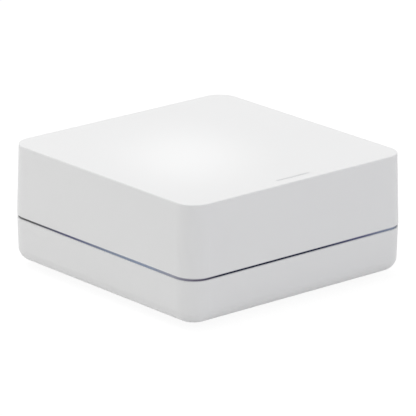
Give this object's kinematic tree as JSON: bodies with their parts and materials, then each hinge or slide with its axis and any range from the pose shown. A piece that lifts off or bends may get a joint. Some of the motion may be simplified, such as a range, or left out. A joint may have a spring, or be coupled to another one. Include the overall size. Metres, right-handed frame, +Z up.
{
  "type": "smart lighting hub",
  "caption": "Square palm-sized smart home hub: white two-piece case with a dark ring in its seam, light line on top, network and power sockets and a pairing button at the rear.",
  "frame": {"origin": "on the resting surface, under the middle of the four feet", "axes": "+Z up; -Y towards the front edge, beside which the status light lies; +Y out of the sockets; +X to the right, seen from the front"},
  "size_m": [0.07, 0.07, 0.0316],
  "materials": {
    "white_plastic": "fine satin texture",
    "ring_gloss": "gloss slate blue",
    "grey_rubber": "matt",
    "steel": "zinc plated",
    "tinplate": "tin plated",
    "gold": "gold flash",
    "black_plastic": "moulded",
    "grey_plastic": "satin",
    "clear_plastic": "frosted",
    "circuit_board": "solder resist over glass-fibre laminate",
    "capacitor_can": "drawn can",
    "ceramic": "fired",
    "label_film": "blank silver-grey film"
  },
  "bodies": {
    "case": {"top_cover": "white_plastic", "base_shell": "white_plastic", "reveal_ring": "ring_gloss", "foot_front_left": "grey_rubber", "foot_front_right": "grey_rubber", "foot_rear_left": "grey_rubber", "foot_rear_right": "grey_rubber", "housing_screws": "steel", "ethernet_jack_shield": "tinplate", "usb_socket_shell": "tinplate", "switch_frame": "tinplate", "radio_shield_frame": "tinplate", "radio_shield_lid": "tinplate", "crystal_can": "tinplate", "radio_crystal": "tinplate", "switch_terminals": "tinplate", "antenna": "tinplate", "ethernet_contacts": "gold", "usb_socket_contacts": "gold", "ethernet_jack_housing": "black_plastic", "usb_socket_tongue": "black_plastic", "switch_body": "black_plastic", "processor": "black_plastic", "memory_chip": "black_plastic", "flash_chip": "black_plastic", "ethernet_controller": "black_plastic", "radio_chip": "black_plastic", "voltage_regulator": "black_plastic", "ethernet_transformer": "black_plastic", "power_inductor": "black_plastic", "chip_resistors": "black_plastic", "status_light_pipe": "clear_plastic", "ethernet_link_lights": "clear_plastic", "status_led": "clear_plastic", "main_board": "circuit_board", "bulk_capacitors": "capacitor_can", "chip_capacitors": "ceramic", "rating_label": "label_film"},
    "button": {"pairing_button": "grey_plastic", "switch_plunger": "grey_plastic"}
  },
  "joints": [
    {"name": "pairing_button_press", "type": "slide", "parent": "case", "child": "button", "axis": [0, -1, 0], "range_m": [0, 0.0003], "stiffness_N_per_m": 1500}
  ]
}
